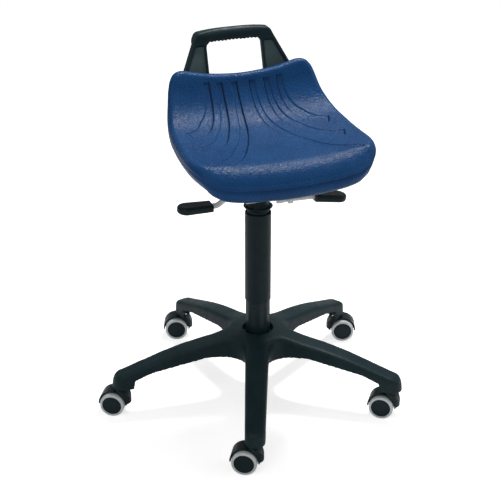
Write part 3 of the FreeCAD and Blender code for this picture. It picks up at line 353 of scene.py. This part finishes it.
def seat_outline():
    """Closed plan outline as (x, run), and its outward direction."""
    rear = LIP_END + REAR_LINE
    half = [(0, -202), (62, -200.5), (115, -196.5), (146, -188), (167, -173), (179, -150), (184, -122),
            (183.5, -90), (181, -50), (178, -10), (173.5, 25), (167, run_at(50)), (160, run_at(70)),
            (153, rear - 18), (147, rear - 1), (137, rear + 11), (122, rear + 15), (95, rear + 10),
            (60, rear + 4), (0, rear)]
    half = [(float(a), float(b)) for a, b in half]
    ring = np.array(half + [(-a, b) for a, b in reversed(half[1:-1])])
    count = len(ring)
    samples = []
    for i in range(count):
        a, b, c, d = (ring[(i + k) % count] for k in (-1, 0, 1, 2))
        chord = math.sqrt(np.linalg.norm(c - b))
        before, after = math.sqrt(np.linalg.norm(b - a)), math.sqrt(np.linalg.norm(d - c))
        lead = (b - a) / before - (c - a) / (before + chord) + (c - b) / chord
        tail = (c - b) / chord - (d - b) / (chord + after) + (d - c) / after
        t = np.linspace(0, 1, 60, endpoint=False)[:, None]
        lead, tail = lead * chord, tail * chord
        samples.append((2 * t ** 3 - 3 * t ** 2 + 1) * b + (t ** 3 - 2 * t ** 2 + t) * lead
                       + (3 * t ** 2 - 2 * t ** 3) * c + (t ** 3 - t ** 2) * tail)
    path = np.concatenate(samples)
    closed = np.vstack([path, path[:1]])
    length = np.concatenate([[0], np.cumsum(np.linalg.norm(np.diff(closed, axis=0), axis=1))])
    at = np.linspace(0, length[-1], AROUND, endpoint=False)
    even = np.stack([np.interp(at, length, closed[:, k]) for k in (0, 1)], -1)
    tangent = np.roll(even, -1, 0) - np.roll(even, 1, 0)
    outward = np.stack([tangent[:, 1], -tangent[:, 0]], -1)
    return even, outward / np.linalg.norm(outward, axis=1)[:, None]


# Channels on the right-hand side, as in the moulding: three-point arcs in plan round each closed shape
CHANNELS = (
    (((13, 86), (24, -5), (55.4, -85)), ((55.4, -85), (90, -138), (141.6, -169.6)),
     ((153.9, -149), (110, -122), (76, -76)), ((76, -76), (38, 0), (24.5, 86))),
    (((43.8, 86), (48.7, 35), (67, -15)), ((67, -15), (97, -64), (144, -87)),
     ((151, -66), (112, -46), (86, -8)), ((86, -8), (62, 40), (55.5, 86))),
    (((70.4, 86), (75, 48), (88, 18)), ((88, 18), (108, -8), (138, -24)),
     ((145, -4), (122, 10), (107, 30)), ((107, 30), (88, 56), (82, 86))))


def arc_points(a, b, c, count=20):
    """Points on the circle through a, b and c, from a to c."""
    a, b, c = (complex(*p) for p in (a, b, c))
    w = (c - a) / (b - a)
    centre = (b - a) * (w - abs(w) ** 2) / (2j * w.imag) + a
    turn = np.angle((c - centre) / (a - centre))
    path = centre + (a - centre) * np.exp(1j * turn * np.linspace(0, 1, count))
    return np.stack([path.real, path.imag], -1)


def depth_inside(points, ring):
    """Signed distance to a closed outline: positive inside it."""
    ends = np.roll(ring, -1, 0)
    nearest = np.full(len(points), 1e9)
    inside = np.zeros(len(points), bool)
    for a, b in zip(ring, ends):
        edge = b - a
        size = edge @ edge
        if size < 1e-9:
            continue
        t = np.clip((points - a) @ edge / size, 0, 1)
        nearest = np.minimum(nearest, np.linalg.norm(points - a - t[:, None] * edge, axis=1))
        crosses = (a[1] > points[:, 1]) != (b[1] > points[:, 1])
        height = edge[1] if abs(edge[1]) > 1e-12 else 1e-12
        inside ^= crosses & (points[:, 0] < a[0] + edge[0] * (points[:, 1] - a[1]) / height)
    return np.where(inside, nearest, -nearest)


def distance_to(points, path):
    """Distance to an open line in plan."""
    nearest = np.full(len(points), 1e9)
    for a, b in zip(path, path[1:]):
        edge = b - a
        t = np.clip((points - a) @ edge / max(edge @ edge, 1e-9), 0, 1)
        nearest = np.minimum(nearest, np.linalg.norm(points - a - t[:, None] * edge, axis=1))
    return nearest


def channel_depth(x, y):
    """How far the moulded channels and the crease round their inner edge and front end sink the surface."""
    plan = np.stack([np.abs(x), y], -1)
    sunk, crease = np.zeros(len(plan)), np.zeros(len(plan))
    for arcs in CHANNELS:
        lines = [arc_points(*a) for a in arcs]
        sunk = np.maximum(sunk, step(depth_inside(plan, np.concatenate(lines)),
                                     -CHANNEL_FLANK, CHANNEL_FLANK))
        inner = np.concatenate([lines[0], lines[1], lines[2][:1]])
        crease = np.maximum(crease, 1 - step(distance_to(plan, inner), 0, CREASE_HALF))
    return sunk * CHANNEL_DEPTH + crease * CREASE_DEPTH, crease


def cushion():
    """The foam saddle as rings of points: dished top, rolled edge, side wall and underside."""
    outline, outward = seat_outline()
    front = np.clip(-outward[:, 1], 0, 1) ** 2
    roll = RIM_RADIUS + (ROLL_RADIUS - RIM_RADIUS) * front
    rings, marks = [], []
    for k in range(INWARD):
        share = (k + 1) / INWARD
        edge = outline - roll[:, None] * outward
        x, run = (edge * share + np.array([0, TOP_CENTRE]) * (1 - share)).T
        point, normal, _ = surface(x, run)
        sunk, crease = channel_depth(x, point[:, 1])
        rings.append(point - sunk[:, None] * normal)
        marks.append(crease)

    base, normal, along = surface(*outline.T)
    side = np.stack([np.ones(AROUND), outline[:, 0] / SIDE_RISE_RADIUS], -1)
    out3 = (outward[:, :1] * side[:, :1] * np.array([1, 0, 0]) + outward[:, :1] * side[:, 1:] * normal
            + outward[:, 1:] * along)
    last_turn = np.radians(SIDE_TURN - FRONT_TURN_LESS * front)
    inset, _, _ = surface(*(outline - roll[:, None] * outward).T)
    for k in range(1, ROLL_STEPS + 1):
        turn = (last_turn * k / ROLL_STEPS)[:, None]
        rolled = inset + roll[:, None] * (np.sin(turn) * out3 - (1 - np.cos(turn)) * normal)
        rings.append(rolled)

    y = spine(outline[:, 1])[0]
    lean = np.radians(np.interp(y, *WALL_LEAN))
    down = np.stack([np.zeros(AROUND), np.sin(lean), -np.cos(lean)], -1)
    deep = np.interp(y, *CUSHION_DEPTH)
    wall = (deep - roll * (1 - np.cos(last_turn))) / WALL_DEPTH
    reach = wall * (1 - front) + FRONT_REACH * front
    rolled_edge = rings[-1]
    for drop, side_out, front_out in WALL_PROFILE:
        shift = side_out * np.minimum(wall, 1) * (1 - front) + front_out * front
        rings.append(rolled_edge + shift[:, None] * out3 + (drop * reach)[:, None] * down)

    low_ring = rings[-1]
    lift = low_ring[:, 2] - np.interp(low_ring[:, 1], *UNDER_HEIGHT)
    for k in range(1, UNDER_STEPS + 1):
        share = 1 - k / (UNDER_STEPS + 0.5)
        plan = low_ring[:, :2] * share + np.array([0, UNDER_CENTRE]) * (1 - share)
        z = np.interp(plan[:, 1], *UNDER_HEIGHT) + lift * share ** 14
        rings.append(np.column_stack([plan, z]))

    top_centre, _, _ = surface(np.zeros(1), np.full(1, float(TOP_CENTRE)))
    points = np.vstack([top_centre] + rings + [[[0, UNDER_CENTRE, UNDERSIDE]]]) * MM
    faces = []
    for k in range(len(rings) - 1):
        start = 1 + k * AROUND
        for i in range(AROUND):
            j = (i + 1) % AROUND
            faces.append((start + i, start + j, start + AROUND + j, start + AROUND + i))
    end = len(points) - 1
    for i in range(AROUND):
        j = (i + 1) % AROUND
        faces.append((0, 1 + j, 1 + i))
        faces.append((end, end - AROUND + i, end - AROUND + j))
    seat = mesh_object("seat_cushion", points, faces, FOAM)
    # The crease share is stored on the mesh; the foam material paints shade into the creases with it.
    mark = seat.data.attributes.new("crease", "FLOAT", "POINT")
    values = np.zeros(len(points), np.float32)
    values[1:1 + INWARD * AROUND] = np.concatenate(marks)
    mark.data.foreach_set("value", values)
    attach(seat, "seat")
    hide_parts("seat_pad")
    return seat


cushion()


# Handle: rounded moulding with a scalloped grip and sunk leg faces

WINDOW_HALF = 57.5
SCALLOPS, SCALLOP_DEPTH = 15, 2.2
# Outer edge of a leg: half width from the shoulder up to the crown
SHOULDER_HALF, CROWN_HALF, SHOULDER_HEIGHT, LEG_HEIGHT = 115, 76, 669, 77
PANEL_TOP, PANEL_SINK = 724, 4.0


def dressed_handle():
    """The handle with scallops under the grip and a sunk, paler panel on the front of each leg."""
    handle = softened("carrying_handle", "handle", 0.0014, 8, NYLON)
    points = points_of(handle) / MM
    normal = normals_of(handle)
    x, y, z = points.T
    pitch = 2 * WINDOW_HALF / SCALLOPS
    under = step(-normal[:, 2], 0.2, 0.75) * step(z, 700, 716) * step(WINDOW_HALF - np.abs(x), 0, 3)
    wave = np.abs(np.sin(np.pi * (x + WINDOW_HALF) / pitch))
    points[:, 2] -= under * SCALLOP_DEPTH * (wave - 0.5)
    outer = SHOULDER_HALF - (SHOULDER_HALF - CROWN_HALF) * np.clip((z - SHOULDER_HEIGHT) / LEG_HEIGHT, 0, 1)
    panel = (step(np.abs(x), WINDOW_HALF + 4, WINDOW_HALF + 6) * step(outer - np.abs(x), 7, 9)
             * step(PANEL_TOP - z, 0, 4) * step(-normal[:, 1], 0.5, 0.9) * step(z, 600, 620))
    points[:, 1] += PANEL_SINK * panel
    set_points(handle, points * MM)
    handle.data.materials.append(LEG_FACE)
    panel_at_face = panel[[face.vertices[0] for face in handle.data.polygons]]
    for face, sunk in zip(handle.data.polygons, panel_at_face):
        face.use_smooth = True
        if sunk > 0.85:
            face.material_index = 1
    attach(handle, "seat")
    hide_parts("handle")


dressed_handle()


# Base: the moulded star with well rounded upper edges

# Height of the arm's underside, in millimetres, along the distance from the column
UNDER_ARM = ((0, 40, 84, 122, 231, 268, 270, 320), (93, 93, 105.5, 108.5, 91, 78, 60, 60))
STAR_ROUNDS, STAR_EASE = 34, 0.6


def rounded_star():
    """The base star with the upper edges eased; the hub's bore and the ribs underneath stay as they are."""
    star = softened("star_base", "base_star", 0.0020, 3, NYLON)
    points = points_of(star)
    edges = np.empty(len(star.data.edges) * 2, np.int64)
    star.data.edges.foreach_get("vertices", edges)
    first, second = edges.reshape(-1, 2).T
    count = np.bincount(np.concatenate([first, second]), minlength=len(points))[:, None]
    reach = np.hypot(points[:, 0], points[:, 1]) / MM
    above = points[:, 2] / MM - np.interp(reach, *UNDER_ARM)
    free = (step(above, 3, 12) * step(reach, 40, 52))[:, None]
    for _ in range(STAR_ROUNDS):
        total = np.zeros_like(points)
        np.add.at(total, first, points[second])
        np.add.at(total, second, points[first])
        points += STAR_EASE * free * (total / count - points)
    set_points(star, points)
    for face in star.data.polygons:
        face.use_smooth = True
    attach(star, "base")
    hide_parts("base_star")


rounded_star()


# Stage: pale floor, white surroundings and soft studio lamps

def seen_directly(tree):
    """1 for camera and see-through rays, 0 for the rays that light the scene."""
    path = tree.nodes.new("ShaderNodeLightPath")
    larger = tree.nodes.new("ShaderNodeMath")
    larger.operation = "MAXIMUM"
    tree.links.new(path.outputs["Is Camera Ray"], larger.inputs[0])
    tree.links.new(path.outputs["Is Transmission Ray"], larger.inputs[1])
    return larger.outputs[0]


SURROUND_LIGHT, SURROUND_SEEN, FLOOR_GLOW = 0.30, 1.0, 0.62
world = bpy.data.worlds.new("Studio")
bpy.context.scene.world = world
world.use_nodes = True
tree = world.node_tree
background = tree.nodes["Background"]
background.inputs["Color"].default_value = (1, 1, 1, 1)
strength = tree.nodes.new("ShaderNodeMapRange")
strength.inputs["To Min"].default_value = SURROUND_LIGHT
strength.inputs["To Max"].default_value = SURROUND_SEEN
tree.links.new(seen_directly(tree), strength.inputs["Value"])
tree.links.new(strength.outputs["Result"], background.inputs["Strength"])

bpy.ops.mesh.primitive_plane_add(size=14, location=(0, 0, 0))
floor = bpy.context.object
floor.name = "floor"
paper = Shader("floor_paper", specular=0.0)
paper.colours(paper.noise(0.5), (0.93, 0.93, 0.93), (0.95, 0.95, 0.95))
paper.roughness(paper.spread(paper.noise(0.2), 0.9, 1.0))
glow = paper.nodes.new("ShaderNodeEmission")
both = paper.nodes.new("ShaderNodeAddShader")
lit = paper.nodes.new("ShaderNodeMath")
lit.operation = "MULTIPLY"
lit.inputs[1].default_value = FLOOR_GLOW
paper.links.new(seen_directly(paper.material.node_tree), lit.inputs[0])
paper.links.new(lit.outputs[0], glow.inputs["Strength"])
paper.links.new(paper.bsdf.outputs["BSDF"], both.inputs[0])
paper.links.new(glow.outputs["Emission"], both.inputs[1])
paper.links.new(both.outputs["Shader"], paper.nodes["Material Output"].inputs["Surface"])
dress(floor, paper.material)


def lamp(name, direction, distance, wide, tall, power, aim=(0, 0, 0.45)):
    data = bpy.data.lights.new(name, "AREA")
    data.shape = "RECTANGLE"
    data.size, data.size_y = wide, tall
    data.energy = power
    obj = bpy.data.objects.new(name, data)
    toward = Vector(direction).normalized()
    obj.location = Vector(aim) + toward * distance
    obj.rotation_euler = (-toward).to_track_quat("-Z", "Y").to_euler()
    bpy.context.collection.objects.link(obj)


lamp("top_softbox", (0.31, 0.26, 0.92), 2.2, 0.55, 0.32, 40)
lamp("front_fill", (-0.75, -0.8, 0.75), 2.8, 1.8, 1.8, 14)
lamp("right_fill", (0.9, -0.4, 0.6), 2.8, 1.4, 1.4, 9)
